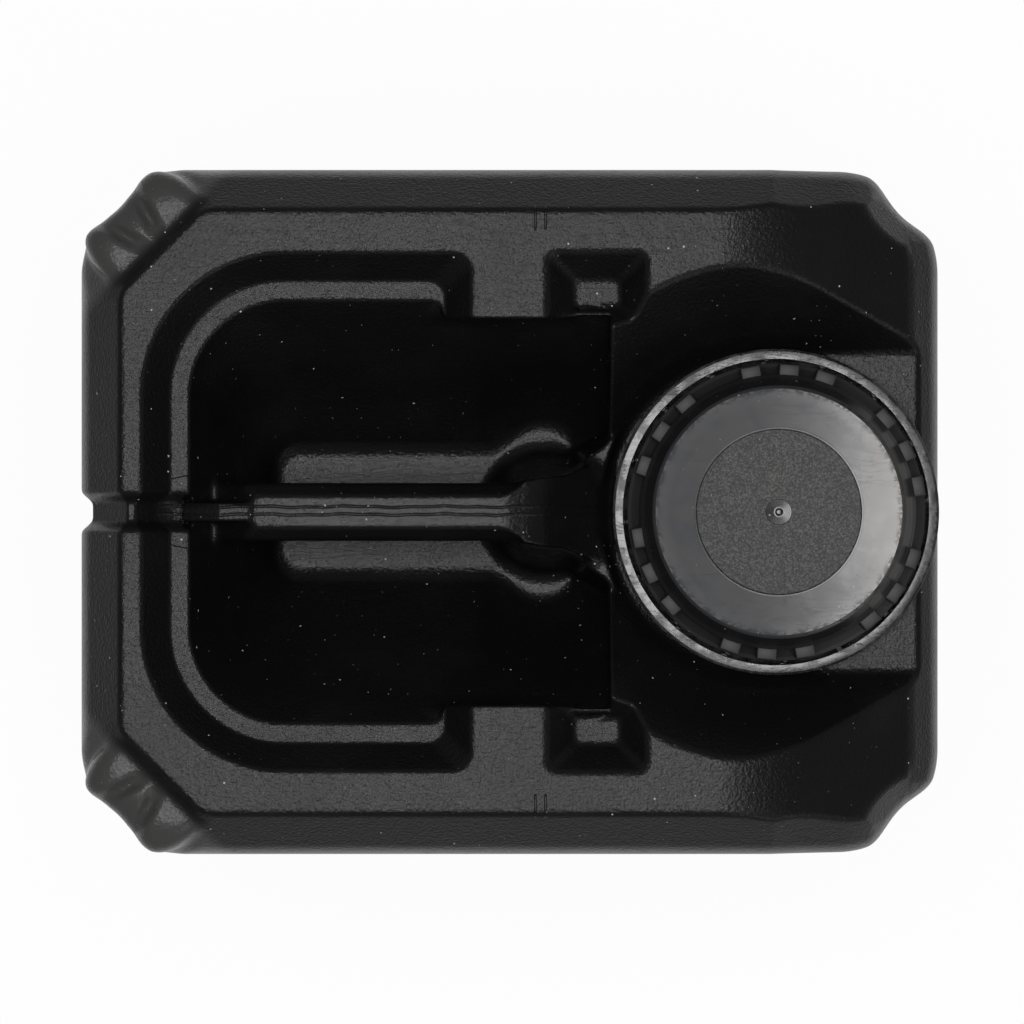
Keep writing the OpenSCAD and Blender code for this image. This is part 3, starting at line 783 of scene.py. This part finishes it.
def foam_white():
    """Off-white closed cell foam with fine pores."""
    m = bpy.data.materials.new("Off-white foam")
    nt = node_tree(m)
    pos, s = surface(nt, 0.4, 0.0, 20.0)
    pores = add(nt, "ShaderNodeTexVoronoi", {"Vector": pos, "Scale": 2600.0}, feature="F1")
    tone = times_add(nt, s["Mottle"], 0.5, times(nt, s["Grain"], 0.4))
    colour = blend_colour(nt, tone, (0.70, 0.69, 0.64, 1), (0.82, 0.81, 0.78, 1))
    rough = spread(nt, s["Mottle"], 0.3, 0.7, 0.75, 0.88)
    close(nt, colour, rough, pores.outputs["Distance"], 0.00008, 0.6)
    return m


def dress(objs, material):
    for o in objs:
        o.data.materials.clear()
        o.data.materials.append(material)


BLOWN = blown_black()
dress((skin, inner, neck, strip, left_insert, right_insert), BLOWN)
dress((cap,), moulded_black())
dress((ring,), ring_black())
dress((disc,), foam_white())


# Floor, world and lights

def pale_floor():
    """A pale floor, white round the jug where the camera or a mirror sees it, that keeps the shadow."""
    bm = bmesh.new()
    bmesh.ops.create_grid(bm, x_segments=1, y_segments=1, size=6.0)
    floor = finish_mesh("floor", bm, closed=False)
    m = bpy.data.materials.new("Pale floor")
    nt = node_tree(m)
    path = nt.nodes.new("ShaderNodeLightPath")
    tc = nt.nodes.new("ShaderNodeTexCoord")
    seen = calc(nt, "MAXIMUM", path.outputs["Is Camera Ray"],
                calc(nt, "MAXIMUM", path.outputs["Is Glossy Ray"], path.outputs["Is Transmission Ray"]))
    far = add(nt, "ShaderNodeVectorMath", {0: tc.outputs["Object"]}, operation="LENGTH").outputs["Value"]
    glow = calc(nt, "MULTIPLY", seen, spread(nt, far, 0.19, 0.32, 0.9, 0.0))
    white = add(nt, "ShaderNodeEmission", {"Color": (1, 1, 1, 1), "Strength": 1.06})
    plain = add(nt, "ShaderNodeBsdfDiffuse", {"Color": (0.45, 0.45, 0.45, 1)})
    mix = nt.nodes.new("ShaderNodeMixShader")
    nt.links.new(glow, mix.inputs[0])
    nt.links.new(plain.outputs[0], mix.inputs[1])
    nt.links.new(white.outputs[0], mix.inputs[2])
    out = nt.nodes.new("ShaderNodeOutputMaterial")
    nt.links.new(mix.outputs[0], out.inputs[0])
    dress((floor,), m)


def plain_world():
    """Pale walls round the jug and a dim ceiling above them."""
    w = bpy.data.worlds.new("studio")
    bpy.context.scene.world = w
    w.use_nodes = True
    nt = w.node_tree
    nt.nodes.clear()
    tc = nt.nodes.new("ShaderNodeTexCoord")
    up = add(nt, "ShaderNodeSeparateXYZ", {0: tc.outputs["Generated"]}).outputs[2]
    back = nt.nodes.new("ShaderNodeBackground")
    back.inputs["Color"].default_value = (1, 1, 1, 1)
    nt.links.new(spread(nt, up, 0.05, 0.5, 0.34, 0.15), back.inputs["Strength"])
    out = nt.nodes.new("ShaderNodeOutputWorld")
    nt.links.new(back.outputs[0], out.inputs[0])


def soft_light(name, at, aim, size, watts):
    data = bpy.data.lights.new(name, "AREA")
    data.shape = "RECTANGLE"
    data.size, data.size_y = size
    data.energy = watts
    lamp = bpy.data.objects.new(name, data)
    lamp.location = at
    lamp.rotation_euler = (Vector(aim) - Vector(at)).to_track_quat("-Z", "Y").to_euler()
    bpy.context.scene.collection.objects.link(lamp)


pale_floor()
plain_world()
soft_light("overhead_box", (-0.07, 0.02, 2.1), (-0.07, 0.02, 0.2), (0.86, 0.76), 24)
soft_light("side_box", (0.9, -1.3, 1.1), (0, 0, 0.15), (0.8, 0.5), 4)
bpy.context.scene.view_settings.view_transform = "Standard"
